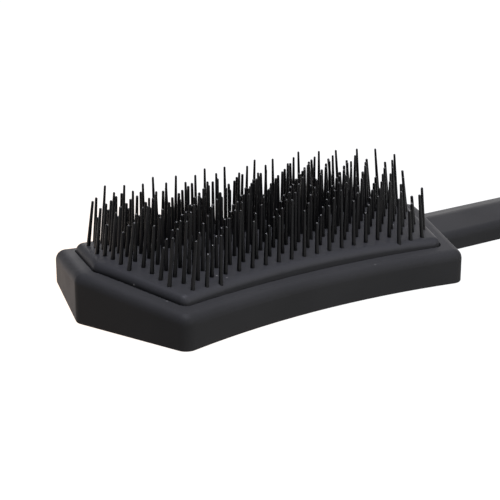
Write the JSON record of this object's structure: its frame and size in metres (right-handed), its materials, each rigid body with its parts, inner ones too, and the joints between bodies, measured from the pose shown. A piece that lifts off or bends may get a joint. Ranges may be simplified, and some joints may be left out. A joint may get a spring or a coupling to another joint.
{
  "type": "hair brush",
  "caption": "Black paddle hair brush: waisted head pointed at both ends, cushioned pad with bristles of stepped length, low roofed bar handle.",
  "frame": {"origin": "on the flat underside of the head, below the middle of the pad", "axes": "+X from the head along the handle, +Y across the head, +Z out of the pad along the bristles"},
  "size_m": [0.245, 0.0778, 0.0367],
  "materials": {
    "soft_touch_shell": "black soft-touch coat on moulded plastic",
    "soft_touch_cover": "black soft-touch coat on moulded plastic",
    "moulded_elastomer": "matte black moulded elastomer",
    "carrier_plastic": "plain black moulded plastic, hidden",
    "cushion_foam": "dark open-cell foam, hidden",
    "bristle_nylon": "black satin nylon with rounded tips"
  },
  "bodies": {
    "body": {"body_shell": "soft_touch_shell", "back_cover": "soft_touch_cover", "foam_sheet": "cushion_foam"},
    "floating_pad": {"bristle_pad": "moulded_elastomer", "bristle_carrier": "carrier_plastic", "long_bristles_row_02": "bristle_nylon", "long_bristles_row_03": "bristle_nylon", "long_bristles_row_04": "bristle_nylon", "long_bristles_row_05": "bristle_nylon", "long_bristles_row_06": "bristle_nylon", "long_bristles_row_07": "bristle_nylon", "long_bristles_row_08": "bristle_nylon", "long_bristles_row_09": "bristle_nylon", "long_bristles_row_10": "bristle_nylon", "long_bristles_row_11": "bristle_nylon", "long_bristles_row_12": "bristle_nylon", "medium_bristles_row_01": "bristle_nylon", "medium_bristles_row_02": "bristle_nylon", "medium_bristles_row_03": "bristle_nylon", "medium_bristles_row_04": "bristle_nylon", "medium_bristles_row_05": "bristle_nylon", "medium_bristles_row_06": "bristle_nylon", "medium_bristles_row_07": "bristle_nylon", "medium_bristles_row_08": "bristle_nylon", "medium_bristles_row_09": "bristle_nylon", "medium_bristles_row_10": "bristle_nylon", "medium_bristles_row_11": "bristle_nylon", "medium_bristles_row_12": "bristle_nylon", "medium_bristles_row_13": "bristle_nylon", "short_bristles_row_01": "bristle_nylon", "short_bristles_row_02": "bristle_nylon", "short_bristles_row_03": "bristle_nylon", "short_bristles_row_04": "bristle_nylon", "short_bristles_row_05": "bristle_nylon", "short_bristles_row_06": "bristle_nylon", "short_bristles_row_07": "bristle_nylon", "short_bristles_row_08": "bristle_nylon", "short_bristles_row_09": "bristle_nylon", "short_bristles_row_10": "bristle_nylon", "short_bristles_row_11": "bristle_nylon", "short_bristles_row_12": "bristle_nylon", "short_bristles_row_13": "bristle_nylon"}
  },
  "joints": [
    {"name": "pad_press", "type": "slide", "parent": "body", "child": "floating_pad", "axis": [0, 0, -1], "range_m": [0, 0.0015], "stiffness_N_per_m": 9000, "deforming": ["foam_sheet"]}
  ]
}
